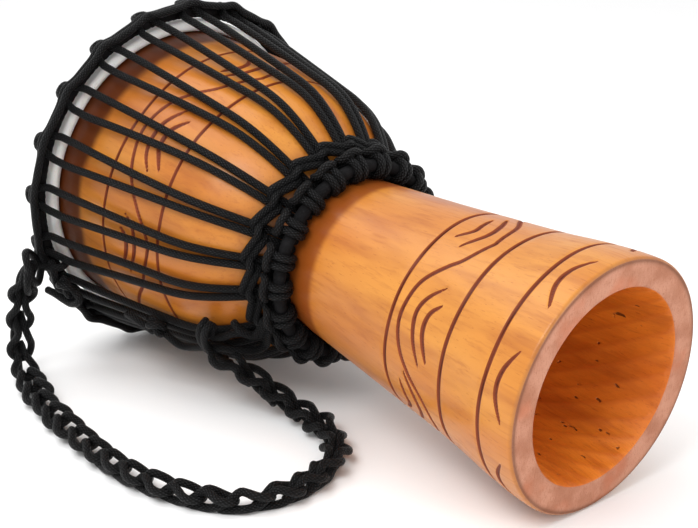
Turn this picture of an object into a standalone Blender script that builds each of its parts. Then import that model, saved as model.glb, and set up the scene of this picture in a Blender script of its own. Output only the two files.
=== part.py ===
"""Rope-tuned goblet drum (djembe) lying on its side, with its carrying strap laid out in front of it.

Run with: blender --background --python part.py
Metres, +Z up. The drum rests on its foot rim and on its crown knots, so its axis climbs a little
from the foot, at +X, to the head, at -X. Positions on the drum are given as (s, r, angle): the height
s above the foot face along the drum's axis, the distance r from that axis, and the angle round it,
in degrees from the top of the lying drum towards -Y.
"""

import math

import bmesh
import bpy
from mathutils import Matrix, Vector

# Driving dimensions, in metres
FOOT_RADIUS = 0.0770
SHELL_HEIGHT = 0.4020
RIM_RADIUS = 0.0965
WALL_AT_RIM = 0.0125
ROPE_RADIUS = 0.0025
GAP = 0.0003
SKIN = 0.0012

# The drum lies with its axis TILT degrees off the table
TILT = 6.25
FOOT_CENTRE = Vector((0.20165, 0.0, 0.07661))

# Hoops: height on the axis, radius of the hoop, radius of its wire
FLESH_RING = (0.3880, 0.1012, 0.0025)
CROWN_RING = (0.3905, 0.1100, 0.0038)
WAIST_RING = (0.2055, 0.0613, 0.0038)
CRADLE = (0.3793, 0.1118, ROPE_RADIUS)
LOOP_CHAIN = (0.2226, 0.0643, 0.0042)
HITCH_OUTER = 0.0088

# Lacing: 20 hairpins of rope between the crown and the waist
PAIRS = 20
FIRST_ANGLE = 16.0
PITCH = 360.0 / PAIRS
CROWN_HALF_SPREAD = 0.0077
WAIST_HALF_SPREAD = 0.0029
# (s, r) of one strand, from the loop chain, over the bowl's shoulder and up over the crown
STRAND = (
    (0.2300, 0.0693), (0.2360, 0.0746), (0.2440, 0.0805), (0.2540, 0.0864), (0.2650, 0.0909),
    (0.2760, 0.0938), (0.2880, 0.0959), (0.3690, 0.1116), (0.3752, 0.1160), (0.3865, 0.1173),
)
STRAND_TOP = (0.3942, 0.1168)

# Shell outlines as (s, r): the outside from the foot up, and the bore and bowl from the head down
OUTSIDE = (
    (0.0000, 0.0750), (0.0008, 0.0763), (0.0030, FOOT_RADIUS), (0.0260, 0.0749), (0.0620, 0.0690),
    (0.1110, 0.0630), (0.1600, 0.0570), (0.2000, 0.0528), (0.2130, 0.0518), (0.2180, 0.0530),
    (0.2240, 0.0580), (0.2300, 0.0640), (0.2370, 0.0706), (0.2450, 0.0765), (0.2540, 0.0821),
    (0.2650, 0.0868), (0.2880, 0.0920), (0.3120, 0.0958), (0.3360, 0.0978), (0.3520, 0.0977),
    (0.3680, RIM_RADIUS), (SHELL_HEIGHT - 0.0030, RIM_RADIUS), (SHELL_HEIGHT, RIM_RADIUS - 0.0030),
)
INSIDE = (
    (SHELL_HEIGHT, RIM_RADIUS - WALL_AT_RIM + 0.0020), (0.3990, RIM_RADIUS - WALL_AT_RIM),
    (0.3400, 0.0855), (0.2950, 0.0800), (0.2650, 0.0700), (0.2450, 0.0560), (0.2250, 0.0410),
    (0.2050, 0.0370), (0.1500, 0.0420), (0.0800, 0.0500), (0.0040, 0.0582), (0.0000, 0.0598),
)
AROUND = 48

# The strap's route on and above the table, in metres from below the foot's centre
STRAP_RADIUS = 0.0060
STRAP_ROUTE = (
    (-0.3770, -0.1260, 0.0760), (-0.3830, -0.1275, 0.0690), (-0.3870, -0.1285, 0.0570),
    (-0.3895, -0.1295, 0.0420), (-0.3905, -0.1305, 0.0280), (-0.3885, -0.1320, 0.0150),
    (-0.3810, -0.1350, 0.0080), (-0.3680, -0.1400, 0.0062), (-0.3500, -0.1465, 0.0062),
    (-0.3230, -0.1560, 0.0062), (-0.2910, -0.1635, 0.0062), (-0.2610, -0.1690, 0.0062),
    (-0.2340, -0.1725, 0.0062), (-0.2080, -0.1735, 0.0062), (-0.1850, -0.1710, 0.0062),
    (-0.1640, -0.1650, 0.0062), (-0.1470, -0.1560, 0.0062), (-0.1350, -0.1430, 0.0062),
    (-0.1290, -0.1270, 0.0062), (-0.1290, -0.1100, 0.0062), (-0.1340, -0.0910, 0.0062),
    (-0.1430, -0.0730, 0.0062), (-0.1570, -0.0590, 0.0062), (-0.1750, -0.0505, 0.0064),
    (-0.1950, -0.0470, 0.0075), (-0.2120, -0.0480, 0.0105), (-0.2260, -0.0520, 0.0165),
    (-0.2380, -0.0590, 0.0250), (-0.2490, -0.0670, 0.0340), (-0.2590, -0.0725, 0.0410),
)

AMBER_WOOD = ("amber_wood", (0.72, 0.33, 0.09), 0.35, 0.0)
GOAT_SKIN = ("goat_skin", (0.86, 0.84, 0.78), 0.55, 0.0)
BARE_STEEL = ("ring_steel", (0.45, 0.45, 0.47), 0.4, 0.9)
BLACK_CLOTH = ("black_cloth", (0.02, 0.02, 0.022), 0.8, 0.0)
BLACK_ROPE = ("black_rope", (0.015, 0.015, 0.017), 0.6, 0.0)


def clear_scene():
    for obj in list(bpy.data.objects):
        bpy.data.objects.remove(obj, do_unlink=True)


def material(name, colour, roughness, metallic):
    found = bpy.data.materials.get(name)
    if found:
        return found
    made = bpy.data.materials.new(name)
    made.use_nodes = True
    made.diffuse_color = (*colour, 1.0)
    shader = made.node_tree.nodes["Principled BSDF"]
    shader.inputs["Base Color"].default_value = (*colour, 1.0)
    shader.inputs["Roughness"].default_value = roughness
    shader.inputs["Metallic"].default_value = metallic
    return made


def finish(obj, look, parent):
    """Links the object, gives it its material and puts it in its parent's space."""
    bpy.context.scene.collection.objects.link(obj)
    obj.data.materials.append(material(*look))
    obj.parent = parent
    return obj


def on_drum(s, r, angle):
    """A point of the drum's own space, whose +Z is its axis from foot to head and +X its upper side."""
    turn = math.radians(angle)
    return Vector((r * math.cos(turn), -r * math.sin(turn), s))


def turned(name, outline, look, parent, steps=AROUND, sharp=35.0):
    """A ring-shaped solid turned from a closed (s, r) outline. A point with r = 0 closes on the axis."""
    mesh = bpy.data.meshes.new(name)
    work = bmesh.new()
    loops = []
    for s, r in outline:
        if r == 0.0:
            loops.append([work.verts.new((0.0, 0.0, s))] * steps)
        else:
            loops.append([work.verts.new(on_drum(s, r, 360.0 * i / steps)) for i in range(steps)])
    for here, there in zip(loops, loops[1:] + loops[:1]):
        for i in range(steps):
            j = (i + 1) % steps
            corners = []
            for corner in (here[i], here[j], there[j], there[i]):
                if corner not in corners:
                    corners.append(corner)
            if len(corners) > 2:
                work.faces.new(corners)
    bmesh.ops.recalc_face_normals(work, faces=work.faces)
    work.to_mesh(mesh)
    work.free()
    mesh.shade_smooth()
    mesh.set_sharp_from_angle(angle=math.radians(sharp))
    return finish(bpy.data.objects.new(name, mesh), look, parent)


def arc(s, r, radius, start, end, count):
    """Points of an arc about (s, r), by angle in degrees from the +r direction towards +s."""
    angles = [math.radians(start + (end - start) * i / (count - 1)) for i in range(count)]
    return [(s + radius * math.sin(a), r + radius * math.cos(a)) for a in angles]


def hoop(name, place, look, parent, steps=AROUND, sides=6):
    s, r, wire = place
    outline = arc(s, r, wire, 0.0, 360.0, sides + 1)[:-1]
    return turned(name, outline, look, parent, steps, 180.0)


def tube(name, points, look, parent, radius=ROPE_RADIUS, sides=6, swell=None, closed=False):
    """A rope along the points. swell gives each point's thickness as a multiple of the radius."""
    data = bpy.data.curves.new(name, "CURVE")
    data.dimensions = "3D"
    data.bevel_depth = radius
    data.bevel_resolution = (sides - 4) // 2
    data.use_fill_caps = not closed
    spline = data.splines.new("POLY")
    spline.points.add(len(points) - 1)
    for i, point in enumerate(points):
        spline.points[i].co = (*point, 1.0)
        spline.points[i].radius = swell[i] if swell else 1.0
    spline.use_cyclic_u = closed
    spline.use_smooth = True
    return finish(bpy.data.objects.new(name, data), look, parent)


def smooth_route(points, spacing):
    """Points about this far apart on a smooth curve through the given ones."""
    knots = [Vector(p) for p in points]
    knots = [2 * knots[0] - knots[1]] + knots + [2 * knots[-1] - knots[-2]]
    dense = []
    for a, b, c, d in zip(knots, knots[1:], knots[2:], knots[3:]):
        for i in range(16):
            t = i / 16
            dense.append(0.5 * (2 * b + (c - a) * t + (2 * a - 5 * b + 4 * c - d) * t**2
                                + (3 * b - a - 3 * c + d) * t**3))
    dense.append(knots[-2])
    lengths = [0.0]
    for a, b in zip(dense, dense[1:]):
        lengths.append(lengths[-1] + (b - a).length)
    count = round(lengths[-1] / spacing)
    route, k = [], 0
    for i in range(count + 1):
        wanted = lengths[-1] * i / count
        while k < len(lengths) - 2 and lengths[k + 1] < wanted:
            k += 1
        t = (wanted - lengths[k]) / (lengths[k + 1] - lengths[k])
        route.append(dense[k].lerp(dense[k + 1], t))
    return route


def build_shell(drum):
    """One carved goblet, open right through: the stem's bore at the foot and the bowl under the skin."""
    return turned("shell", OUTSIDE + INSIDE, AMBER_WOOD, drum)


def build_drumhead(drum):
    """Goat skin over the rim, down its outside, round the flesh ring and up behind the crown ring."""
    fold_s, fold_r, wire = FLESH_RING
    inner, outer = wire + GAP, wire + GAP + SKIN
    leg_top = 0.3965
    under = SHELL_HEIGHT + GAP
    edge = RIM_RADIUS + 0.0006
    outline = [(under + SKIN, 0.0), (under + SKIN, 0.0500), (under + SKIN, edge - 0.0020)]
    outline += [(under + SKIN - 0.0012, edge + SKIN - 0.0006), (under - 0.0020, edge + SKIN)]
    outline += [(fold_s + wire, fold_r - inner)]
    outline += arc(fold_s, fold_r, inner, 180.0, 360.0, 5)
    outline += [(leg_top, fold_r + inner), (leg_top, fold_r + outer)]
    outline += arc(fold_s, fold_r, outer, 360.0, 180.0, 7)
    outline += [(under - 0.0028, edge), (under, edge - 0.0028), (under, 0.0500), (under, 0.0)]
    return turned("drumhead", outline, GOAT_SKIN, drum, AROUND, 50.0)


def build_hoops(drum):
    hoop("flesh_ring", FLESH_RING, BARE_STEEL, drum)
    hoop("crown_ring", CROWN_RING, BLACK_CLOTH, drum)
    hoop("waist_ring", WAIST_RING, BLACK_CLOTH, drum, 40)


def build_crown_cradle(drum):
    """The rope that runs round under the crown ring and links the lacing's loops."""
    s, r, _ = CRADLE
    points = [on_drum(s, r, 360.0 * i / (3 * PAIRS)) for i in range(3 * PAIRS)]
    tube("crown_cradle_rope", points, BLACK_ROPE, drum, closed=True)


def build_waist_cradle(drum):
    """Hitches round the waist ring, as one sleeve that is open towards the stem."""
    s, r, wire = WAIST_RING
    sleeve = arc(s, r, HITCH_OUTER, -115.0, 115.0, 8)
    sleeve += arc(s, r, wire + GAP, 115.0, -115.0, 7)
    turned("waist_cradle_rope", sleeve, BLACK_ROPE, drum, 40, 60.0)


def build_loop_chain(drum):
    """The row of interlinked loops above the waist ring, a link at each lacing pair."""
    s, r, thick = LOOP_CHAIN
    steps = 2 * PAIRS
    points = [on_drum(s, r, FIRST_ANGLE + 360.0 * i / steps) for i in range(steps)]
    swell = [1.0 if i % 2 else 0.85 for i in range(steps)]
    tube("waist_loop_chain", points, BLACK_ROPE, drum, thick, 8, swell, closed=True)


def build_lacing(drum):
    """One hairpin of rope at each crown knot: up one strand, over the crown ring and down the other."""
    low, high = STRAND[0][0], STRAND[-1][0]
    for k in range(PAIRS):
        centre = FIRST_ANGLE + PITCH * k
        up = []
        for s, r in STRAND:
            part = (s - low) / (high - low)
            spread = WAIST_HALF_SPREAD + (CROWN_HALF_SPREAD - WAIST_HALF_SPREAD) * part
            up.append((s, r, math.degrees(spread / r)))
        s, r = STRAND_TOP
        turn = math.degrees(0.6 * CROWN_HALF_SPREAD / r)
        route = [on_drum(s_, r_, centre - half) for s_, r_, half in up]
        route += [on_drum(s, r, centre - turn), on_drum(s, r, centre + turn)]
        route += [on_drum(s_, r_, centre + half) for s_, r_, half in reversed(up)]
        tube(f"lacing_pair_{k + 1:02d}", route, BLACK_ROPE, drum)


def build_finishing_rope(drum):
    """The lacing's end: a stopper knot with a short melted stub, and a loose run down to the waist."""
    route = [(0.3270, 0.1120, 129.0), (0.3190, 0.1135, 129.5), (0.3150, 0.1155, 130.0),
             (0.3080, 0.1150, 131.0), (0.3020, 0.1105, 133.0), (0.2960, 0.1045, 136.0),
             (0.2860, 0.1015, 141.0), (0.2740, 0.0995, 145.0), (0.2620, 0.0960, 147.0),
             (0.2510, 0.0912, 146.0), (0.2455, 0.0880, 143.0), (0.2385, 0.0845, 141.0)]
    swell = [1.0, 1.0, 2.2, 2.6, 1.6] + [1.0] * 7
    tube("finishing_rope", [on_drum(*p) for p in route], BLACK_ROPE, drum, swell=swell, sides=8)


def build_crown_tie_knot(drum):
    """The knot that ends the cradle rope at the crown, with a short cut tail."""
    route = [(0.3870, 0.1290, 126.0), (0.3800, 0.1275, 125.0), (0.3740, 0.1260, 124.0),
             (0.3680, 0.1240, 123.0), (0.3610, 0.1215, 122.0), (0.3540, 0.1180, 121.5)]
    swell = [1.0, 1.0, 2.2, 2.8, 2.2, 1.0]
    tube("crown_tie_knot", [on_drum(*p) for p in route], BLACK_ROPE, drum, swell=swell, sides=8)


def build_strap_ties(drum):
    """The strap's rope is looped over the crown ring at one end and over a lacing pair at the other."""
    at = 112.5
    over_crown = [(0.3728, 0.1086), (0.3722, 0.1120), (0.3740, 0.1152), (0.3785, 0.1175),
                  (0.3850, 0.1192), (0.3925, 0.1185), (0.3975, 0.1135)]
    tube("strap_upper_tie", [on_drum(s, r, at) for s, r in over_crown], BLACK_ROPE, drum)
    at = 0.2660
    over_lacing = [(0.0905, 118.0), (0.0950, 118.4), (0.0975, 121.0), (0.0985, 124.0),
                   (0.0985, 127.0), (0.0975, 130.0), (0.0950, 132.6), (0.0905, 133.0)]
    tube("strap_lower_tie", [on_drum(at, r, a) for r, a in over_lacing], BLACK_ROPE, drum)


def build_strap(table):
    """The plaited carrying strap, hanging from the crown to the table and back up to the lacing."""
    route = smooth_route(STRAP_ROUTE, 0.0105)
    tube("strap", route, BLACK_ROPE, table, STRAP_RADIUS, 8)


def main():
    clear_scene()
    table = bpy.data.objects.new("below_foot_centre", None)
    table.location = (FOOT_CENTRE.x, FOOT_CENTRE.y, 0.0)
    drum = bpy.data.objects.new("drum_axis", None)
    drum.matrix_world = Matrix.Translation(FOOT_CENTRE) @ Matrix.Rotation(math.radians(TILT - 90.0), 4, "Y")
    for empty in (table, drum):
        bpy.context.scene.collection.objects.link(empty)
    build_shell(drum)
    build_drumhead(drum)
    build_hoops(drum)
    build_crown_cradle(drum)
    build_waist_cradle(drum)
    build_loop_chain(drum)
    build_lacing(drum)
    build_finishing_rope(drum)
    build_crown_tie_knot(drum)
    build_strap_ties(drum)
    build_strap(table)


main()
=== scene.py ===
"""Looks of a small rope-tuned djembe lying on its side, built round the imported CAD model.

Metres, +Z up, in the row frame. Positions on the drum are (s, r, angle): s is the height above the foot's
face along the drum's axis, r the distance from that axis, and the angle goes round it in degrees, from the
top of the lying drum towards -Y, where the strap lies.
"""

import math

import bpy
import numpy as np
from mathutils import Matrix, Vector


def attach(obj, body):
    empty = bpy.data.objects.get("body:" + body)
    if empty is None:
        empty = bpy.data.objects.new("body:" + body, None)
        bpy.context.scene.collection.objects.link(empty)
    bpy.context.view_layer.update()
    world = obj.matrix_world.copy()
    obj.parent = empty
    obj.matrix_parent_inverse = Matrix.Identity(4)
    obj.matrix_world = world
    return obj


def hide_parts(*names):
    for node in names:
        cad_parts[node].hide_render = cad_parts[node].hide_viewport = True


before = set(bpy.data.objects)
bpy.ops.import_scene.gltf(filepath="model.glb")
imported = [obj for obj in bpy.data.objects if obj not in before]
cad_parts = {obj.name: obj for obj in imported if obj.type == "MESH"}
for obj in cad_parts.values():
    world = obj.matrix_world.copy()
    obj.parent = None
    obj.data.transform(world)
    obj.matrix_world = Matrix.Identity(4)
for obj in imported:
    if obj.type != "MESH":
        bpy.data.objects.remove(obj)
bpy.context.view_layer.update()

MM = 0.001

# The drum as it lies: its foot's centre and the tilt of its axis
FOOT_CENTRE = Vector((0.20165, 0.0, 0.07661))
TILT = 6.25
DRUM = Matrix.Translation(FOOT_CENTRE) @ Matrix.Rotation(math.radians(TILT - 90.0), 4, "Y")
SHELL_HEIGHT = 0.4020
ROPE = 0.0025  # radius of the 5 mm rope
ROPE_SIDES = 12
ROPE_STEP = 0.0018  # length between the rings of a rope's mesh
TABLE_CLEARANCE = 0.0002

# Hoops: height on the axis, radius of the hoop, radius of its wire
FLESH_RING = (0.3880, 0.1012, 0.0025)
CROWN_RING = (0.3905, 0.1100, 0.0037)
WAIST_RING = (0.2055, 0.0613, 0.0038)

# Lacing: 20 hairpins of rope between the crown and the waist
PAIRS = 20
FIRST_ANGLE = 16.0
PITCH = 360.0 / PAIRS
LEAN = -2.5  # the lacing slants a little: its waist end lies this many degrees on
LOW_PAIR, LOW_LEAN = 6, 4.5  # the strap's tie pulls this pair the other way
CROWN_HALF_SPREAD = 0.0077
WAIST_HALF_SPREAD = 0.0027

# Shell outlines as (s, r)
OUTSIDE = np.array((
    (0.0000, 0.0750), (0.0008, 0.0763), (0.0030, 0.0770), (0.0260, 0.0749), (0.0620, 0.0690),
    (0.1110, 0.0630), (0.1600, 0.0570), (0.2000, 0.0528), (0.2130, 0.0518), (0.2180, 0.0530),
    (0.2240, 0.0580), (0.2300, 0.0640), (0.2370, 0.0706), (0.2450, 0.0765), (0.2540, 0.0821),
    (0.2650, 0.0868), (0.2880, 0.0920), (0.3120, 0.0958), (0.3360, 0.0978), (0.3520, 0.0977),
    (0.3680, 0.0965), (0.3990, 0.0965), (0.4020, 0.0935),
))
INSIDE = np.array((
    (0.0000, 0.0598), (0.0040, 0.0582), (0.0800, 0.0500), (0.1500, 0.0420), (0.2050, 0.0370),
    (0.2250, 0.0410), (0.2450, 0.0560), (0.2650, 0.0700), (0.2950, 0.0800), (0.3400, 0.0855),
    (0.3990, 0.0840), (0.4020, 0.0860),
))

# The strap's route, in metres from below the foot's centre
STRAP_ROUTE = (
    (-0.3770, -0.1260, 0.0760), (-0.3830, -0.1275, 0.0690), (-0.3870, -0.1285, 0.0570),
    (-0.3895, -0.1295, 0.0420), (-0.3905, -0.1305, 0.0280), (-0.3885, -0.1320, 0.0150),
    (-0.3810, -0.1350, 0.0080), (-0.3680, -0.1400, 0.0062), (-0.3500, -0.1465, 0.0062),
    (-0.3230, -0.1560, 0.0062), (-0.2910, -0.1635, 0.0062), (-0.2610, -0.1690, 0.0062),
    (-0.2340, -0.1725, 0.0062), (-0.2080, -0.1735, 0.0062), (-0.1850, -0.1710, 0.0062),
    (-0.1640, -0.1650, 0.0062), (-0.1470, -0.1560, 0.0062), (-0.1350, -0.1430, 0.0062),
    (-0.1290, -0.1270, 0.0062), (-0.1290, -0.1100, 0.0062), (-0.1340, -0.0910, 0.0062),
    (-0.1430, -0.0730, 0.0062), (-0.1570, -0.0590, 0.0062), (-0.1750, -0.0505, 0.0064),
    (-0.1950, -0.0470, 0.0075), (-0.2120, -0.0480, 0.0105), (-0.2260, -0.0520, 0.0165),
    (-0.2380, -0.0590, 0.0250), (-0.2490, -0.0670, 0.0340), (-0.2590, -0.0725, 0.0410),
)
STRAP_LIFT = 0.0012  # the plait is a little thicker than its CAD tube
STITCH = 0.0198  # pitch of the strap's chain plait
STRAP_TAIL = 0.011  # length at the strap's end that holds no stitch

rng = np.random.default_rng(7)


# ---------------------------------------------------------------- camera, floor and light

def add(name, data):
    """A new object of the scene."""
    made = bpy.data.objects.new(name, data)
    bpy.context.scene.collection.objects.link(made)
    return made


def aim(name, data, place, direction):
    """A camera or a light at a place, looking along a direction."""
    made = add(name, data)
    made.location = place
    made.rotation_mode = "QUATERNION"
    made.rotation_quaternion = direction.to_track_quat("-Z", "Y")
    return made


def make_camera():
    """A long lens that looks down on the drum from the foot's end and the strap's side."""
    data = bpy.data.cameras.new("camera")
    data.lens, data.sensor_width = 89.64, 36.0
    data.clip_start, data.clip_end = 0.05, 20.0
    place, forward = (0.7491, -0.6960, 0.4606), Vector((-0.69310, 0.63791, -0.33569))
    bpy.context.scene.camera = aim("camera", data, place, forward)
    bpy.context.scene.view_settings.view_transform = "Standard"


def area_light(name, place, target, size, power):
    data = bpy.data.lights.new(name, "AREA")
    data.shape = "RECTANGLE"
    data.size, data.size_y = size
    data.energy = power
    aim(name, data, place, Vector(target) - Vector(place))


def make_light():
    """A white studio: an even world, a key light in front, one above the bowl and a small one on the foot."""
    world = bpy.data.worlds.new("studio")
    world.use_nodes = True
    back = world.node_tree.nodes["Background"]
    back.inputs["Color"].default_value = (1.0, 1.0, 1.0, 1.0)
    back.inputs["Strength"].default_value = 0.95
    bpy.context.scene.world = world
    middle = (0.0, 0.0, 0.09)
    area_light("key", (0.30, -0.85, 1.05), middle, (0.7, 0.5), 8.4)
    area_light("top", (-0.50, -0.25, 1.10), middle, (0.9, 0.8), 4.6)
    area_light("foot_fill", (1.20, 0.10, 0.45), (0.2, 0.0, 0.08), (0.5, 0.5), 2.8)


def make_floor():
    """A plain white floor."""
    mesh = bpy.data.meshes.new("floor")
    far = 6.0
    corners = [(-far, -far, 0), (far, -far, 0), (far, far, 0), (-far, far, 0)]
    mesh.from_pydata(corners, [], [(0, 1, 2, 3)])
    look = Look("floor_white", 0.9)
    look.set(Base_Color=(0.93, 0.93, 0.93), Specular_IOR_Level=0.1)
    mesh.materials.append(look.material)
    add("floor", mesh)


# ---------------------------------------------------------------- materials

class Look:
    """A material whose nodes are added and joined by short calls."""

    def __init__(self, name, roughness):
        self.material = bpy.data.materials.new(name)
        self.material.use_nodes = True
        self.tree = self.material.node_tree
        self.shader = self.tree.nodes["Principled BSDF"]
        self.shader.inputs["Roughness"].default_value = roughness

    def put(self, socket, value):
        """Join a socket to another, or give it a value; a colour may leave out its alpha."""
        if isinstance(value, bpy.types.NodeSocket):
            self.tree.links.new(value, socket)
        elif isinstance(value, tuple) and len(value) == 3 and socket.type == "RGBA":
            socket.default_value = (*value, 1.0)
        else:
            socket.default_value = value

    def node(self, kind, *values, **settings):
        """A new node with these settings, and with these values in its first inputs."""
        made = self.tree.nodes.new("ShaderNode" + kind)
        for name, value in settings.items():
            setattr(made, name, value)
        for socket, value in zip(made.inputs, values):
            if value is not None:
                self.put(socket, value)
        return made

    def math(self, operation, a, b=0.0, c=0.0):
        return self.node("Math", a, b, c, operation=operation).outputs[0]

    def attribute(self, name, output="Fac"):
        return self.node("Attribute", attribute_name=name).outputs[output]

    def place(self, *scale, coords=None):
        """Object coordinates, or others, stretched by one scale or by one for each axis."""
        coords = coords or self.node("TexCoord").outputs["Object"]
        scale = scale * 3 if len(scale) == 1 else scale
        return self.node("Mapping", coords, None, None, scale).outputs[0]

    def drum_space(self):
        """Coordinates whose Z runs along the drum's axis from the foot's centre."""
        coords = self.node("TexCoord").outputs["Object"]
        turn = (0.0, math.radians(TILT - 90.0), 0.0)
        return self.node("Mapping", coords, tuple(FOOT_CENTRE), turn, vector_type="TEXTURE").outputs[0]

    def grain(self, *scale):
        """Drum-space coordinates stretched in the same way."""
        return self.place(*scale, coords=self.drum_space())

    def noise(self, place, detail, roughness=0.55):
        made = self.node("TexNoise")
        self.put(made.inputs["Vector"], place)
        made.inputs["Scale"].default_value = 1.0
        made.inputs["Detail"].default_value = detail
        made.inputs["Roughness"].default_value = roughness
        return made.outputs["Fac"]

    def ramp(self, value, low, high, smooth=True):
        """0 below low and 1 above high; low may be the larger."""
        made = self.node("MapRange", value, low, high, 0.0, 1.0)
        made.interpolation_type = "SMOOTHSTEP" if smooth else "LINEAR"
        return made.outputs[0]

    def mix(self, part, a, b):
        """Colour a where part is 0 and colour b where it is 1."""
        made = self.node("Mix", data_type="RGBA", clamp_factor=True)
        self.put(made.inputs[0], part)
        self.put(made.inputs[6], a)
        self.put(made.inputs[7], b)
        return made.outputs[2]

    def tint(self, colour, part, share, other):
        """A colour with up to a share of another mixed in, where part is above 0."""
        return self.mix(self.math("MULTIPLY", part, share), colour, other)

    def bump(self, height, distance, strength, normal=None):
        made = self.node("Bump")
        made.inputs["Strength"].default_value = strength
        made.inputs["Distance"].default_value = distance
        self.put(made.inputs["Height"], height)
        if normal:
            self.put(made.inputs["Normal"], normal)
        return made.outputs[0]

    def set(self, **values):
        """Set the shader's inputs, named with _ for a space."""
        for name, value in values.items():
            self.put(self.shader.inputs[name.replace("_", " ")], value)


def wood_colour(look, light, dark, deep):
    """Flamed, straight-grained wood: a wide cloud of tone, streaks along the axis and short pores."""
    cloud = look.noise(look.grain(11.0, 11.0, 4.0), 4.0)
    colour = look.mix(look.ramp(cloud, 0.32, 0.70), dark, light)
    flame = look.noise(look.grain(60.0, 60.0, 6.0), 3.0, 0.6)
    colour = look.tint(colour, look.ramp(flame, 0.42, 0.75), 0.55, deep)
    streak = look.noise(look.grain(420.0, 420.0, 12.0), 2.0, 0.6)
    colour = look.tint(colour, look.ramp(streak, 0.50, 0.80), 0.35, deep)
    pores = look.noise(look.grain(1400.0, 1400.0, 110.0), 1.0, 0.4)
    colour = look.tint(colour, look.ramp(pores, 0.66, 0.76), 0.40, deep)
    return colour, streak


def varnished_wood():
    """Outside of the shell: amber varnish, dark carved lines, and painted shadows as dark bands below the
    head's cuff and round the waist.
    """
    look = Look("varnished_amber_wood", 0.34)
    colour, streak = wood_colour(look, (0.58, 0.235, 0.036), (0.47, 0.140, 0.014), (0.27, 0.055, 0.006))
    along = look.node("SeparateXYZ", look.drum_space()).outputs[2]
    # painted shadow of the crown ring and cuff: a dark band on the bowl just below the cuff, its edge
    # wandering a little
    wander = look.noise(look.grain(30.0), 2.0)
    level = look.math("MULTIPLY_ADD", wander, 0.010, along)
    colour = look.tint(colour, look.ramp(level, 0.3635, 0.3730), 0.95, (0.085, 0.015, 0.002))
    # painted shadow and shade of the waist's belt: a dark band on the stem below the hitches, fading out up
    # behind the chain
    waist = look.math("MULTIPLY", look.ramp(along, 0.1825, 0.1890), look.ramp(along, 0.232, 0.212))
    colour = look.tint(colour, waist, 0.80, (0.19, 0.034, 0.004))
    groove = look.attribute("groove")
    colour = look.mix(look.ramp(groove, 1.06, 0.88), colour, (0.22, 0.034, 0.003))
    colour = look.mix(look.ramp(groove, 0.60, 0.10), colour, (0.095, 0.013, 0.002))
    edge = look.attribute("edge")
    colour = look.tint(colour, edge, 0.6, (0.22, 0.085, 0.035))
    depth = look.ramp(groove, 0.0, 1.0, smooth=False)
    normal = look.bump(streak, 0.00012, 0.5)
    normal = look.bump(depth, 0.0009, 1.0, normal)
    rough = look.math("MULTIPLY_ADD", look.ramp(streak, 0.3, 0.8), 0.10, 0.31)
    rough = look.math("MULTIPLY_ADD", look.ramp(groove, 1.1, 0.9), 0.35, rough)
    look.set(Base_Color=colour, Roughness=rough, Normal=normal)
    look.set(Coat_Weight=0.10, Coat_Roughness=0.30, Specular_IOR_Level=0.34)
    return look.material


def sawn_wood():
    """The foot's face: matt end grain, pinkish brown, with fine scratches and a worn dark edge."""
    look = Look("sawn_foot_face", 0.78)
    cloud = look.noise(look.grain(45.0), 4.0)
    colour = look.mix(look.ramp(cloud, 0.35, 0.65), (0.37, 0.150, 0.085), (0.50, 0.235, 0.150))
    rows = look.noise(look.grain(260.0, 900.0, 300.0), 3.0, 0.7)
    colour = look.tint(colour, look.ramp(rows, 0.50, 0.72), 0.55, (0.30, 0.10, 0.045))
    dots = look.noise(look.grain(1500.0), 1.0)
    colour = look.tint(colour, look.ramp(dots, 0.62, 0.72), 0.5, (0.20, 0.06, 0.03))
    red = look.noise(look.grain(28.0), 3.0)
    colour = look.tint(colour, look.ramp(red, 0.48, 0.66), 0.5, (0.50, 0.150, 0.070))
    edge = look.attribute("edge")
    colour = look.tint(colour, edge, 0.75, (0.13, 0.045, 0.020))
    normal = look.bump(rows, 0.00030, 0.8)
    normal = look.bump(dots, 0.00015, 0.6, normal)
    look.set(Base_Color=colour, Normal=normal, Specular_IOR_Level=0.25)
    return look.material


def gouged_wood():
    """The bore: oiled deep orange wood with slanting tool marks and small dark pits."""
    look = Look("gouged_bore_wood", 0.50)
    colour, _ = wood_colour(look, (0.78, 0.235, 0.018), (0.58, 0.130, 0.008), (0.30, 0.046, 0.003))
    marks = look.attribute("marks")
    colour = look.tint(colour, look.ramp(marks, 0.55, 0.15), 0.35, (0.50, 0.105, 0.010))
    pits = look.noise(look.grain(210.0, 210.0, 120.0), 2.0, 0.4)
    pitted = look.ramp(pits, 0.70, 0.75)
    colour = look.tint(colour, pitted, 0.85, (0.07, 0.014, 0.003))
    fine = look.noise(look.grain(500.0, 500.0, 60.0), 3.0, 0.7)
    normal = look.bump(fine, 0.0005, 0.7)
    normal = look.bump(look.math("SUBTRACT", 1.0, pitted), 0.0010, 0.8, normal)
    look.set(Base_Color=colour, Normal=normal, Specular_IOR_Level=0.35)
    return look.material


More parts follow.
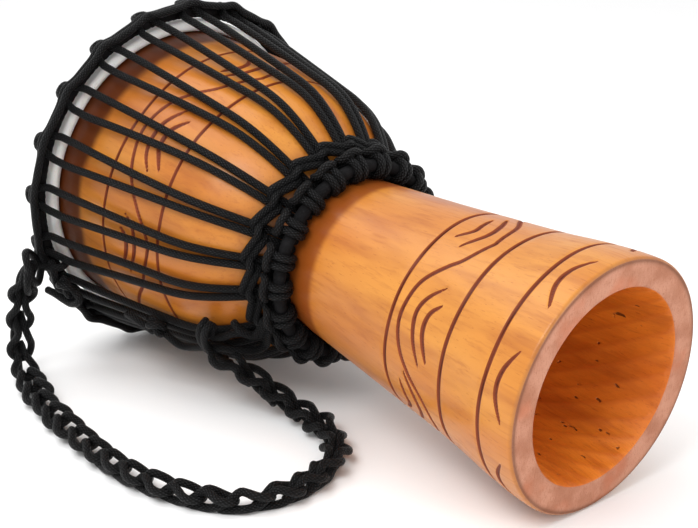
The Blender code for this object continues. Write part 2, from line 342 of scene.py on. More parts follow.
def braided_rope():
    """Fine braided polyester, with the braid's shade and glints painted into its colour. The rope attribute
    holds the turn round the rope and the length along it.
    """
    look = Look("black_braided_rope", 0.42)
    strands, lay = 8.0, 0.0028  # strands that wind each way, and their distance apart along the rope
    base, glint_grey = 0.0034, 0.070  # grey of the fibre, and of the highlights painted on it as glints
    parts = look.node("SeparateXYZ", look.attribute("rope", "Vector"))
    turn = look.math("ARCTAN2", parts.outputs[1], parts.outputs[0])
    turn = look.math("MULTIPLY", turn, strands / math.tau)
    run = look.math("MULTIPLY", parts.outputs[2], 1.0 / lay)
    one = look.math("MULTIPLY", look.math("ADD", turn, run), math.pi)
    two = look.math("MULTIPLY", look.math("SUBTRACT", turn, run), math.pi)
    one = look.math("ABSOLUTE", look.math("SINE", one))
    two = look.math("ABSOLUTE", look.math("SINE", two))
    weave = look.math("POWER", look.math("MULTIPLY", one, two), 0.6)
    fuzz = look.noise(look.place(2600.0), 2.0, 0.7)
    # painted shade of the braid: darker in the hollows between the strands, lighter on their crowns
    braid_shading = look.math("MULTIPLY", weave, look.math("MULTIPLY_ADD", fuzz, 0.9, 0.25))
    dark, light = (base * 0.2,) * 3, (base * 3.0, base * 3.0, base * 3.2)
    colour = look.mix(look.ramp(braid_shading, 0.15, 0.85), dark, light)
    # painted highlights: small bright glints on the strands' crowns
    glint = look.ramp(look.math("MULTIPLY", weave, fuzz), 0.48, 0.60)
    colour = look.tint(colour, glint, 0.7, (glint_grey, glint_grey, glint_grey * 1.08))
    normal = look.bump(weave, 0.00075, 1.0)
    normal = look.bump(fuzz, 0.00015, 0.6, normal)
    look.set(Base_Color=colour, Normal=normal, Specular_IOR_Level=0.13)
    return look.material


def wound_cloth():
    """Black cloth strip wound round a hoop."""
    look = Look("black_wound_cloth", 0.85)
    weave = look.noise(look.place(2200.0), 1.0)
    wear = look.noise(look.place(120.0), 3.0)
    colour = look.mix(look.ramp(wear, 0.35, 0.75), (0.0035, 0.0033, 0.0037), (0.009, 0.0085, 0.0093))
    colour = look.mix(look.ramp(weave, 0.55, 0.75), colour, (0.020, 0.020, 0.021))
    normal = look.bump(weave, 0.0003, 0.7)
    look.set(Base_Color=colour, Normal=normal, Specular_IOR_Level=0.12)
    return look.material


def goat_skin():
    """Bleached goat skin: a cream head with faint veins and hair roots, and a whiter cuff."""
    look = Look("goat_skin", 0.58)
    cloud = look.noise(look.place(16.0), 5.0)
    head = look.mix(look.ramp(cloud, 0.30, 0.72), (0.62, 0.57, 0.48), (0.82, 0.79, 0.73))
    cuff = look.mix(look.ramp(cloud, 0.30, 0.72), (0.84, 0.82, 0.79), (0.95, 0.945, 0.94))
    along = look.node("SeparateXYZ", look.drum_space()).outputs[2]
    colour = look.mix(look.ramp(along, 0.3975, 0.4010), cuff, head)
    veins = look.noise(look.place(55.0), 6.0, 0.65)
    colour = look.tint(colour, look.ramp(veins, 0.56, 0.70), 0.25, (0.62, 0.50, 0.36))
    roots = look.noise(look.place(1100.0), 1.0)
    colour = look.tint(colour, look.ramp(roots, 0.66, 0.74), 0.35, (0.45, 0.38, 0.30))
    normal = look.bump(veins, 0.0006, 0.5)
    normal = look.bump(roots, 0.0002, 0.4, normal)
    look.set(Base_Color=colour, Normal=normal)
    look.set(Subsurface_Weight=0.12, Subsurface_Scale=0.002)
    return look.material


def bare_steel():
    """Plain steel rod with a mill finish."""
    look = Look("bare_steel_rod", 0.38)
    mill = look.noise(look.place(300.0), 4.0)
    colour = look.mix(look.ramp(mill, 0.3, 0.7), (0.33, 0.32, 0.31), (0.52, 0.52, 0.53))
    rough = look.math("MULTIPLY_ADD", mill, 0.3, 0.25)
    look.set(Base_Color=colour, Roughness=rough, Metallic=0.9, Normal=look.bump(mill, 0.0002, 0.4))
    return look.material


# ---------------------------------------------------------------- meshes

def on_drum(s, r, angle):
    """A point of the drum's own space, whose +Z is its axis from foot to head and +X its upper side."""
    turn = np.radians(angle)
    s, r, turn = np.broadcast_arrays(s, r, turn)
    return np.stack([r * np.cos(turn), -r * np.sin(turn), s], axis=-1)


def in_row(points, matrix=DRUM):
    """Drum-space points, or points in another matrix's space, in the row frame."""
    matrix = np.array(matrix)
    return points @ matrix[:3, :3].T + matrix[:3, 3]


def make_object(name, points, faces, materials):
    """A smooth-shaded mesh object from points in the row frame."""
    mesh = bpy.data.meshes.new(name)
    mesh.from_pydata(points.tolist(), [], faces)
    mesh.validate()
    mesh.shade_smooth()
    for each in materials:
        mesh.materials.append(each)
    return add(name, mesh)


def attribute(obj, name, values):
    """Store a number, or a row of three, at each point of a mesh."""
    values = np.asarray(values, np.float32)
    kind = "FLOAT_VECTOR" if values.ndim == 2 else "FLOAT"
    made = obj.data.attributes.new(name, kind, "POINT")
    made.data.foreach_set("vector" if values.ndim == 2 else "value", values.ravel())


def grid_faces(rows, columns, closed=True):
    """Faces of a grid whose rows are closed rings; if closed, its last row joins its first."""
    i = np.arange(rows if closed else rows - 1)[:, None]
    j = np.arange(columns)[None, :]
    i2, j2 = (i + 1) % rows, (j + 1) % columns
    corners = (i * columns + j, i * columns + j2, i2 * columns + j2, i2 * columns + j)
    return np.stack(corners, -1).reshape(-1, 4)


def run_along(line):
    """Length along a line at each of its points."""
    return np.concatenate([[0.0], np.cumsum(np.linalg.norm(np.diff(line, axis=0), axis=1))])


def smooth_line(points, step, closed=False):
    """Points about a step apart on the smooth curve through the given ones."""
    p = np.asarray(points, float)
    if closed:
        p = np.vstack([p[-1:], p, p[:2]])
    else:
        p = np.vstack([2 * p[:1] - p[1:2], p, 2 * p[-1:] - p[-2:-1]])
    t = np.linspace(0, 1, 10, endpoint=False)[:, None]
    dense = [
        0.5 * (2 * b + (c - a) * t + (2 * a - 5 * b + 4 * c - d) * t**2 + (3 * b - a - 3 * c + d) * t**3)
        for a, b, c, d in zip(p, p[1:], p[2:], p[3:])
    ]
    dense = np.vstack([*dense, p[-2:-1]])
    run = run_along(dense)
    count = max(3, round(run[-1] / step))
    wanted = np.linspace(0, run[-1], count + 1)[:count if closed else count + 1]
    return np.stack([np.interp(wanted, run, dense[:, i]) for i in range(3)], axis=1)


def unit(v):
    """Vectors scaled to a length of 1."""
    return v / np.maximum(np.linalg.norm(v, axis=-1, keepdims=True), 1e-12)


def frames(line, closed=False, first=None):
    """Tangent, normal and side at each point of a line, turning as little as they can."""
    if closed:
        tangent = unit(np.roll(line, -1, axis=0) - np.roll(line, 1, axis=0))
    else:
        tangent = unit(np.gradient(line, axis=0))
    normal = np.empty_like(line)
    n = np.array(first if first is not None else np.eye(3)[np.argmin(abs(tangent[0]))], float)
    for i, t in enumerate(tangent):
        n = n - t * (n @ t)
        n /= np.linalg.norm(n)
        normal[i] = n
    if closed:
        n = n - tangent[0] * (n @ tangent[0])
        miss = math.atan2(n @ np.cross(tangent[0], normal[0]), n @ normal[0])
        turn = -miss * np.arange(len(line))[:, None] / len(line)
        normal = normal * np.cos(turn) + np.cross(tangent, normal) * np.sin(turn)
    return tangent, normal, np.cross(tangent, normal)


# The rings of a rope's rounded end: how far out each lies and how wide it is, in radii, and its tip
END_RINGS = ((0.55, 0.62), (0.32, 0.86))
END_TIP = 0.62


def tube(line, closed=False):
    """Points, faces and rope attribute of a round rope along a line, with rounded ends."""
    tangent, normal, side = frames(line, closed)
    turn = np.arange(ROPE_SIDES) * math.tau / ROPE_SIDES
    run = run_along(line)
    centres, scale = line, np.ones(len(line))
    if not closed:
        head = [line[0] - tangent[0] * ROPE * far for far, _ in END_RINGS]
        tail = [line[-1] + tangent[-1] * ROPE * far for far, _ in reversed(END_RINGS)]
        centres = np.vstack([head, line, tail])
        wide = [w for _, w in END_RINGS]
        scale = np.concatenate([wide, scale, wide[::-1]])
        repeats = np.ones(len(line), int)
        repeats[[0, -1]] += len(END_RINGS)
        normal, side, run = (np.repeat(each, repeats, axis=0) for each in (normal, side, run))
    ring = np.cos(turn)[None, :, None] * normal[:, None] + np.sin(turn)[None, :, None] * side[:, None]
    points = (centres[:, None] + ring * (ROPE * scale)[:, None, None]).reshape(-1, 3)
    rows = len(centres)
    braid = np.empty((rows, ROPE_SIDES, 3))
    braid[:, :, 0], braid[:, :, 1], braid[:, :, 2] = np.cos(turn), np.sin(turn), run[:, None]
    braid = braid.reshape(-1, 3)
    faces = grid_faces(rows, ROPE_SIDES, closed).tolist()
    if not closed:
        tips = (line[0] - tangent[0] * ROPE * END_TIP, line[-1] + tangent[-1] * ROPE * END_TIP)
        points = np.vstack([points, *tips])
        braid = np.vstack([braid, [1, 0, 0], [1, 0, run[-1]]])
        first, last, end = len(points) - 2, len(points) - 1, (rows - 1) * ROPE_SIDES
        edges = [(a, (a + 1) % ROPE_SIDES) for a in range(ROPE_SIDES)]
        faces += [(first, b, a) for a, b in edges]
        faces += [(last, end + a, end + b) for a, b in edges]
    return points, faces, braid


def rope_along(points, closed=False, step=ROPE_STEP):
    """A tube of rope along the smooth curve through some points."""
    return tube(smooth_line(points, step, closed), closed)


def rope_object(name, tubes, material, matrix=DRUM):
    """One object of several tubes. Rope that would sink into the table is pressed flat on it."""
    faces, start = [], 0
    for tube_points, tube_faces, _ in tubes:
        faces += [tuple(i + start for i in face) for face in tube_faces]
        start += len(tube_points)
    points = in_row(np.vstack([each[0] for each in tubes]), matrix)
    points[:, 2] = np.maximum(points[:, 2], TABLE_CLEARANCE)
    made = make_object(name, points, faces, [material])
    attribute(made, "rope", np.vstack([each[2] for each in tubes]))
    return made


def place_piece(obj, body, slot, *nodes):
    """Put a piece on a body in place of its CAD nodes. The slot is not used."""
    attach(obj, body)
    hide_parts(*nodes)


# ---------------------------------------------------------------- the carved shell

def curve_through(table, s):
    """r at each s on a smooth curve through the table's (s, r) points."""
    x, y = table[:, 0], table[:, 1]
    slope = np.diff(y) / np.diff(x)
    tangent = np.concatenate([slope[:1], (slope[:-1] + slope[1:]) / 2, slope[-1:]])
    tangent[1:-1][slope[:-1] * slope[1:] <= 0] = 0.0
    i = np.clip(np.searchsorted(x, s, side="right") - 1, 0, len(x) - 2)
    h = x[i + 1] - x[i]
    t = np.clip((s - x[i]) / h, 0, 1)
    return (
        y[i] * (2 * t**3 - 3 * t**2 + 1) + h * tangent[i] * (t**3 - 2 * t**2 + t)
        + y[i + 1] * (3 * t**2 - 2 * t**3) + h * tangent[i + 1] * (t**3 - t**2)
    )


# Carved lines. Rings are (s, half width) in millimetres; waves and crescents are (angle, s) points.
RINGS = ((26.5, 1.55), (62.0, 1.6), (110.5, 1.5), (286.8, 1.25), (336.0, 1.35))
STEM_WAVE = ((0, 74), (15, 81), (22, 88), (33, 98), (44, 102), (57, 103), (70.5, 98), (82, 89), (94, 78))
BOWL_WAVE = (
    (0, 295.5), (16, 304), (24, 313), (33, 322), (46, 327), (58, 323), (66, 317), (75, 307), (83, 298),
)
STEM_CREST = (
    ((-21, 79), (-13, 88), (-4, 92), (8, 89), (21, 81)),
    ((-13, 75), (-6, 82), (4, 82.3), (17, 75)),
)
STEM_TROUGH = (
    ((-14, 98), (-4, 96), (3, 95), (11, 101)),
    ((-20, 93.5), (-8, 86.5), (3, 84.7), (16, 92)),
)
BOWL_CREST = (
    ((-15, 306), (-6, 314.8), (1, 316.7), (8, 314.6), (14, 308)),
    ((-11, 299), (-4, 307), (3, 307.8), (7, 304.5), (12, 299.5)),
)
BOWL_TROUGH = (
    ((-12, 317.5), (-8.5, 310.4), (-4, 307.3), (3, 307.2), (12, 313)),
    ((-6, 320.5), (-3, 315.3), (2, 314), (9, 317.5)),
)
FOOT_CRESCENT = ((-15, 9.6), (-5, 15.5), (5, 15.8), (16, 9.0))
FOOT_CRESCENTS = 7
FOOT_START = 75.0
# Each wave: its shape, the angles where copies start, the degrees the shape spans, its half width, and two
# sets of marks with their middle, in degrees from a copy's start. Only the copies behind have jitter.
WAVES = (
    (STEM_WAVE, (18.0, 127.0, 246.0), 109.0, 1.55, (STEM_CREST, 53.0), (STEM_TROUGH, -7.0)),
    (BOWL_WAVE, (4.0, 94.0, 184.0, 274.0), 90.0, 1.35, (BOWL_CREST, 46.0), (BOWL_TROUGH, 0.0)),
)
MARK_HALF_WIDTHS = (1.7, 1.9)
CRESCENT_HALF_WIDTH = 1.75
GROOVE_DEPTH = 0.00115
FIELD_END = 3.0  # half widths from a line where its field ends
FIELD_STEP, FIELD_MARGIN = 1.2, 4.0  # step along a line and room above and below it, in millimetres


def carved_lines():
    """Every carved line: its (angle, s) points, its half width in millimetres and whether its ends taper."""
    lines = []
    around = np.arange(0.0, 360.1, 1.5)
    for s, half in RINGS:
        wobble = 0.30 * np.sin(np.radians(around * 3) + s) + 0.2 * np.sin(np.radians(around * 7) + 2 * s)
        lines.append((np.stack([around, s + wobble], 1), half, False))
    for shape, starts, span, width, (crest, peak), (trough, dip) in WAVES:
        whole = []
        for i, start in enumerate(starts):
            room = ((starts[(i + 1) % len(starts)] - start) % 360.0) / span
            whole += [(start + a * room, s) for a, s in shape]
            for marks, centre in ((crest, start + peak * room), (trough, start + dip)):
                for mark, half in zip(marks, MARK_HALF_WIDTHS):
                    jitter = 0.0 if i < 2 else rng.normal(0, 1.2)
                    lines.append((np.array([(centre + a + jitter, s) for a, s in mark]), half, True))
        whole.append((whole[0][0] + 360.0, whole[0][1]))
        lines.append((np.array(whole), width, False))
    for i in range(FOOT_CRESCENTS):
        centre = FOOT_START + 360.0 * i / FOOT_CRESCENTS
        lines.append((np.array([(centre + a, s) for a, s in FOOT_CRESCENT]), CRESCENT_HALF_WIDTH, True))
    return lines


def groove_field(s, angle, r):
    """Distance from the nearest carved line, as a multiple of the line's half width there."""
    field = np.full(s.shape, FIELD_END)
    for points, half, tapers in carved_lines():
        flat = np.column_stack([points, np.zeros(len(points))])
        line = smooth_line(flat, FIELD_STEP)[:, :2]
        share = np.linspace(0, 1, len(line))
        width = half * (0.25 + 0.75 * np.sin(np.pi * share) ** 0.6) if tapers else np.full(len(line), half)
        low, high = line[:, 1].min() - FIELD_MARGIN, line[:, 1].max() + FIELD_MARGIN
        rows = np.nonzero((s[:, 0] * 1000 > low) & (s[:, 0] * 1000 < high))[0]
        if not len(rows):
            continue
        band = slice(rows[0], rows[-1] + 1)
        ss, aa, rr = s[band] * 1000, angle[band], r[band] * 1000
        best = field[band]
        for (a0, s0), (a1, s1), w in zip(line, line[1:], width):
            # the columns within reach, at the stem's radius of 55 mm and with 1.5 degrees to spare
            reach = math.degrees(FIELD_END * w / 55.0) + abs(a1 - a0) + 1.5
            near = (aa[0] - a0 + 180) % 360 - 180
            cols = np.nonzero(abs(near) < reach)[0]
            if not len(cols):
                continue
            x = np.radians(near[cols])[None, :] * rr[:, cols]
            y = ss[:, cols] - s0
            dx = math.radians(a1 - a0) * rr[:, cols]
            dy = s1 - s0
            t = np.clip((x * dx + y * dy) / np.maximum(dx * dx + dy * dy, 1e-9), 0, 1)
            far = np.hypot(x - t * dx, y - t * dy) / w
            best[:, cols] = np.minimum(best[:, cols], far)
        field[band] = best
    return field


# The shell's mesh: its columns, and its rows as (start, end, step) zones, close where lines are carved
COLUMNS = 288
OUTSIDE_ZONES = (
    (0.0004, 0.0060, 0.0007), (0.0060, 0.0280, 0.0008), (0.0280, 0.0600, 0.0032), (0.0600, 0.0640, 0.0007),
    (0.0640, 0.0720, 0.0020), (0.0720, 0.1125, 0.0008), (0.1125, 0.2050, 0.0040), (0.2050, 0.2700, 0.0028),
    (0.2700, 0.2850, 0.0030), (0.2850, 0.3380, 0.0008), (0.3380, 0.3990, 0.0034),
)
INSIDE_ZONES = (
    (0.0006, 0.0050, 0.0011), (0.0050, 0.2100, 0.0026), (0.2100, 0.2700, 0.0075), (0.2700, 0.3990, 0.016),
)
RIM = np.array(((0.4010, 0.0957), (SHELL_HEIGHT, 0.0935), (SHELL_HEIGHT, 0.0862)))
FOOT_FACE = np.linspace(0.0603, 0.0747, 11)
HAND_WAVE = 0.00018  # how far the hand-worked outside waves in and out
GOUGE_DEPTH = 0.0007


def spaced(zones):
    """Row heights from (start, end, step) zones that follow one another."""
    rows = [np.linspace(a, b, max(1, round((b - a) / step)), endpoint=False) for a, b, step in zones]
    return np.concatenate(rows)


def gouges(s, angle):
    """Depth across the bore's slanting gouge cuts, from 0 at a cut's edge to 1 in its middle."""
    slant = angle / 360.0 * 26 + s / 0.021
    row = np.floor(slant)
    across = slant - row
    chance = np.abs(np.sin(row * 12.9898) * 43758.5453) % 1.0
    along = (s / 0.034 + chance * 3.1 + angle / 360.0 * 3) % 1.0
    return (4 * across * (1 - across)) * (0.4 + 0.6 * np.sin(np.pi * along) ** 0.5)


def shell():
    """The goblet: carved outside, sawn foot face, gouged bore and plain bowl, as one turned mesh."""
    out_s, in_s = spaced(OUTSIDE_ZONES), spaced(INSIDE_ZONES)
    s = np.concatenate([out_s, RIM[:, 0], in_s[::-1], np.zeros(len(FOOT_FACE))])
    r = np.concatenate([
        curve_through(OUTSIDE, out_s), RIM[:, 1], curve_through(INSIDE, in_s)[::-1], FOOT_FACE
    ])
    outer = slice(0, len(out_s))
    bore = slice(len(out_s) + len(RIM), len(s) - len(FOOT_FACE))
    face = slice(-len(FOOT_FACE), None)
    height, angle = np.meshgrid(s, np.arange(COLUMNS) * 360.0 / COLUMNS, indexing="ij")
    radius = np.repeat(r[:, None], COLUMNS, axis=1)
    groove = np.full(height.shape, FIELD_END)
    groove[outer] = groove_field(height[outer], angle[outer], radius[outer])
    radius[outer] -= GROOVE_DEPTH * np.clip(1 - groove[outer], 0, 1)
    radius[outer] += HAND_WAVE * np.sin(5 * np.radians(angle) + 55 * height)[outer]
    marks = np.ones(height.shape)
    marks[bore] = gouges(height[bore], angle[bore])
    radius[bore] += (marks[bore] - 0.5) * GOUGE_DEPTH * np.clip(height[bore] / 0.004, 0, 1)
    # wear on the foot's edge, outside and on its face
    edge = np.zeros(height.shape)
    edge[outer] = np.clip(1 - height[outer] / 0.0022, 0, 1)
    edge[face] = np.clip((radius[face] - 0.0728) / 0.0020, 0, 1)
    points = in_row(on_drum(height, radius, angle).reshape(-1, 3))
    faces = grid_faces(len(s), COLUMNS)[:, [0, 3, 2, 1]]
    made = make_object("shell_carved", points, faces.tolist(), [varnished_wood(), sawn_wood(), gouged_wood()])
    kind = np.zeros(len(s), int)
    kind[bore.start - 2:] = 2
    kind[-len(FOOT_FACE) - 1:] = 1
    made.data.polygons.foreach_set("material_index", np.repeat(kind, COLUMNS))
    attribute(made, "groove", groove.ravel())
    attribute(made, "edge", edge.ravel())
    attribute(made, "marks", marks.ravel())
    made.data.set_sharp_from_angle(angle=math.radians(50))
    place_piece(made, "drum", "amber_wood", "shell")


# ---------------------------------------------------------------- head and hoops

def arc(s, r, radius, start, end, count):
    """(s, r) points of an arc, by angle in degrees from the +r direction towards +s."""
    turns = np.radians(np.linspace(start, end, count))
    return [(s + radius * math.sin(a), r + radius * math.cos(a)) for a in turns]


def drumhead():
    """Goat skin: flat over the rim, down its outside, and turned up round the flesh ring as a white cuff."""
    top = SHELL_HEIGHT + 0.0003
    skin = 0.0011
    s, r, wire = FLESH_RING
    near = wire + 0.0002
    far = near + skin
    over = top + skin
    rows = [(over, 0.0), (over, 0.0300), (over, 0.0600), (over, 0.0850), (over - 0.0001, 0.0925)]
    rows += [(over - 0.0012, 0.0962), (top - 0.0022, 0.0983), (s + 0.0060, 0.0985)]
    rows += arc(s, r, near, 180.0, 360.0, 9)
    rows += [(s + 0.0040, r + near + 0.0002), (s + 0.0080, r + near - 0.0003)]
    rows += [(s + 0.0083, r + near + 0.0004), (s + 0.0080, r + far - 0.0002), (s + 0.0040, r + far + 0.0002)]
    rows += arc(s, r, far, 360.0, 180.0, 13)
    rows += [(s + 0.0060, 0.0971), (top - 0.0028, 0.0970), (top, 0.0938), (top, 0.0500), (top, 0.0)]
    steps = 240
    angle = np.arange(steps) * 360.0 / steps
    points = np.vstack([on_drum(height, out, angle if out > 0 else angle[:1]) for height, out in rows])
    # a fan round the middle of the top, the rings between, and a fan round the middle of the underside
    rings, last = len(rows) - 2, len(points) - 1
    around = [(j, (j + 1) % steps) for j in range(steps)]
    faces = [(0, 1 + k, 1 + j) for j, k in around]
    faces += (grid_faces(rings, steps, closed=False) + 1).tolist()
    faces += [(last - steps + j, last - steps + k, last) for j, k in around]
    # the cuff puckers where the lacing pulls on it, and its turned-up edge wanders
    turn = np.arctan2(-points[:, 1], points[:, 0])
    cuff = np.clip((np.hypot(points[:, 0], points[:, 1]) - 0.0985) / 0.004, 0, 1)
    cuff *= points[:, 2] < top - 0.001
    pucker = np.cos((turn - math.radians(FIRST_ANGLE)) * PAIRS)
    wander = np.sin(3 * turn + 1.0) + 0.6 * np.sin(7 * turn + 0.4) + 0.4 * np.sin(13 * turn)
    points[:, 2] += cuff * (0.00030 * pucker + 0.00035 * wander)
    made = make_object("drumhead_skin", in_row(points), faces, [goat_skin()])
    made.data.set_sharp_from_angle(angle=math.radians(60))
    place_piece(made, "drum", "goat_skin", "drumhead")


def wound_hoop(name, place, node, turns):
    """A hoop wound with cloth strip: each turn of the strip stands a little proud at one edge."""
    s, r, wire = place
    steps, sides = turns * 6, 14
    angle, about = np.meshgrid(
        np.arange(steps) * 360.0 / steps, np.arange(sides) * 360.0 / sides, indexing="ij"
    )
    lap = (angle / 360.0 * turns + about / 360.0) % 1.0
    thick = wire * (1.0 + 0.10 * lap - 0.05 * (lap > 0.93))
    about = np.radians(about)
    points = on_drum(s + thick * np.sin(about), r + thick * np.cos(about), angle).reshape(-1, 3)
    made = make_object(name, in_row(points), grid_faces(steps, sides).tolist(), [wound_cloth()])
    place_piece(made, "drum", "black_cloth", node)


def steel_ring():
    """The flesh ring keeps its CAD shape, in bare steel."""
    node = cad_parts["flesh_ring"]
    node.data.materials.clear()
    node.data.materials.append(bare_steel())


# ---------------------------------------------------------------- lacing

def route(points):
    """Drum-space points of a list of (s, r, angle)."""
    return [on_drum(*p) for p in points]


def offset(centre, r, along):
    """The angle that lies a length along the circle of radius r from the centre angle."""
    return centre + math.degrees(along / r)


# One leg of a hairpin as (s, r), and its bend under the strands as (s, r, distance from the pair's middle)
LEG = (
    (0.2060, 0.0552), (0.2135, 0.0550), (0.2193, 0.0577), (0.2251, 0.0630), (0.2316, 0.0694),
    (0.2394, 0.0760), (0.2470, 0.0815), (0.2560, 0.0869), (0.2650, 0.0908), (0.2760, 0.0939),
    (0.2880, 0.0961), (0.3150, 0.1008), (0.3420, 0.1054), (0.3640, 0.1090), (0.3740, 0.1100),
    (0.3790, 0.1106),
)
BEND = (
    (0.3835, 0.1116, 0.0068), (0.3875, 0.1138, 0.0052), (0.3915, 0.1158, 0.0040), (0.3948, 0.1152, 0.0020),
)
SPREAD_FROM, SPREAD_TO = 0.2340, 0.3640  # heights between which the legs part


def lacing_pair(k):
    """Points of one hairpin, from behind the waist ring to the crown ring, under the cradle's strands."""
    centre = FIRST_ANGLE + PITCH * k
    lean = LEAN if k != LOW_PAIR else LOW_LEAN
    wander = rng.normal(0, 0.00035, 2)
    legs = []
    for side, stray in zip((-1, 1), wander):
        one = []
        for s, r in LEG:
            part = min(max((s - SPREAD_FROM) / (SPREAD_TO - SPREAD_FROM), 0.0), 1.0)
            spread = WAIST_HALF_SPREAD + (CROWN_HALF_SPREAD - WAIST_HALF_SPREAD) * part
            spread += stray * math.sin(math.pi * part) * 2
            one.append(on_drum(s, r, offset(centre + lean * (1 - part), r, side * spread)))
        one += [on_drum(s, r, offset(centre, r, side * aside)) for s, r, aside in BEND]
        legs.append(one)
    return legs[0] + legs[1][::-1]


def lacing(rope):
    """The lacing's hairpins, one piece for each pair."""
    for k in range(PAIRS):
        made = rope_object(f"lacing_rope_{k + 1:02d}", [rope_along(lacing_pair(k), step=0.0020)], rope)
        place_piece(made, "drum", "black_rope", f"lacing_pair_{k + 1:02d}")


def half_turns(phase, width):
    """Twist angle of two strands that swap sides at each whole phase, within a width of it."""
    k = np.round(phase)
    t = np.clip((phase - k) / width, -1, 1)
    return np.pi * (k + 0.5 * (1.5 * t - 0.5 * t**3))


# The crown's strands: where (s, r) the inner one runs, the direction from it to the outer one, and the
# direction square to that, outwards and towards the head
STRANDS = np.array((0.3870, 0.1155))
STRAND_FACE = np.array((-0.69, 0.72))
STRAND_SIDE = np.array((0.72, 0.69))
KNOT_LENGTH = 0.0068  # half length of a bulge
CRADLE_RADIUS = 0.1165
# Round this angle, for about this width, the outer strand lies square over the inner one
SQUARE_ANGLE, SQUARE_WIDTH = 88.0, 34.0


def crown_cradle(rope):
    """Two strands side by side round the crown; at each lacing pair both bulge and the outer one rides up."""
    steps = 18
    phase = np.arange(PAIRS * steps) / steps
    angle = FIRST_ANGLE + PITCH * phase
    size = rng.normal(1.0, 0.12, PAIRS)
    slip = rng.normal(0.0, 0.0008, PAIRS)
    knot = np.round(phase).astype(int) % PAIRS
    aside = np.radians((phase - np.round(phase)) * PITCH) * CRADLE_RADIUS - slip[knot]
    bulge = np.exp(-(aside / KNOT_LENGTH) ** 2) * size[knot]
    turned = (angle - SQUARE_ANGLE + 180.0) % 360.0 - 180.0
    apart = 1.0 - 0.85 * np.exp(-(turned / SQUARE_WIDTH) ** 2)
    # how far each strand lies along the side and along the face
    inner = (0.0024 * bulge, -0.0006 * bulge)
    outer = (apart * (0.0021 * bulge - 0.0028), 0.0041 + 0.0016 * bulge)
    tubes = []
    for out, up in (inner, outer):
        strand = STRANDS + STRAND_SIDE * out[:, None] + STRAND_FACE * up[:, None]
        line = on_drum(strand[:, 0], strand[:, 1], angle)
        tubes.append(rope_along(line, closed=True, step=0.0020))
    made = rope_object("crown_cradle_strands", tubes, rope)
    place_piece(made, "drum", "black_rope", "crown_cradle_rope")


# The chain's middle (s, r), which lies on the shell where it slopes by 45 degrees
CHAIN = (0.2252, 0.0680)
CHAIN_SLOPE = 0.71
CHAIN_STEP = 0.0029  # half of its step towards the foot at each pair
CHAIN_APART = 0.0024  # half of the width between its strands
CHAIN_RISE = 0.0019  # half of the height between them where they cross


def loop_chain(rope):
    """Two strands that swap over and under at each lacing pair, where they step towards the foot."""
    steps = 20
    phase = np.arange(PAIRS * steps) / steps
    t = phase - np.round(phase)
    fall = 0.17  # half of the step, as a share of the pitch
    rise = -1.0 + 2.0 * ((t % 1.0) - fall) / (1.0 - 2.0 * fall)
    level = np.where(abs(t) < fall, -np.sin(np.pi * t / (2 * fall)), rise)
    twist = half_turns(phase, 0.27)
    angle = FIRST_ANGLE + LEAN + PITCH * phase
    tubes = []
    for sign in (1, -1):
        over, across = np.cos(twist) * sign, np.sin(twist) * sign
        slope = CHAIN_STEP * level + CHAIN_APART * across
        s = CHAIN[0] + CHAIN_SLOPE * slope - CHAIN_RISE * over
        r = CHAIN[1] + CHAIN_SLOPE * slope + CHAIN_RISE * over
        tubes.append(rope_along(on_drum(s, r, angle), closed=True))
    made = rope_object("waist_loop_links", tubes, rope)
    place_piece(made, "drum", "black_rope", "waist_loop_chain")


# Half of a hitch: (mm along the waist ring, degrees round its wire, mm from the wire's middle)
HALF_HITCH = (
    (-6.0, 130, 8.4), (-5.6, 105, 7.8), (-4.8, 75, 7.0), (-3.4, 35, 6.5), (-2.6, -20, 6.3), (-2.5, -80, 6.3),
    (-2.5, -150, 6.3), (-2.5, -215, 6.4), (-2.9, -255, 8.6), (-4.4, -276, 10.4), (-6.0, -298, 9.8),
    (-6.4, -322, 8.6), (-4.8, -340, 9.2), (-1.8, -346, 10.8),
)
HITCH = HALF_HITCH + tuple((-along, turn, far) for along, turn, far in reversed(HALF_HITCH))


def waist_hitches(rope):
    """A hitch of two turns and a bight on the waist ring, halfway between each two lacing pairs."""
    s0, r0, _ = WAIST_RING
    tubes = []
    for k in range(PAIRS):
        centre = FIRST_ANGLE + LEAN + PITCH * (k + 0.5)
        shift = rng.normal(0, 0.5)
        points = []
        for along, turn, far in HITCH:
            a = math.radians(turn)
            s, r = s0 + far * MM * math.sin(a), r0 + far * MM * math.cos(a)
            points.append(on_drum(s, r, offset(centre, r0, (along + shift) * MM)))
        tubes.append(rope_along(points, step=0.0016))
    made = rope_object("waist_hitches", tubes, rope)
    place_piece(made, "drum", "black_rope", "waist_cradle_rope")


def overhand(centre, out, along, size):
    """Points of an overhand knot about a centre, lying in the plane square to out, with its ends free."""
    out, along = unit(out), unit(along)
    side = np.cross(out, along)
    points = []
    for t in np.linspace(0.30, math.tau - 0.30, 17):
        x = (2 + math.cos(3 * t)) * math.cos(2 * t)
        y = (2 + math.cos(3 * t)) * math.sin(2 * t)
        points.append(centre + size * (x * along + y * side) + 0.0026 * math.sin(3 * t) * out)
    return points


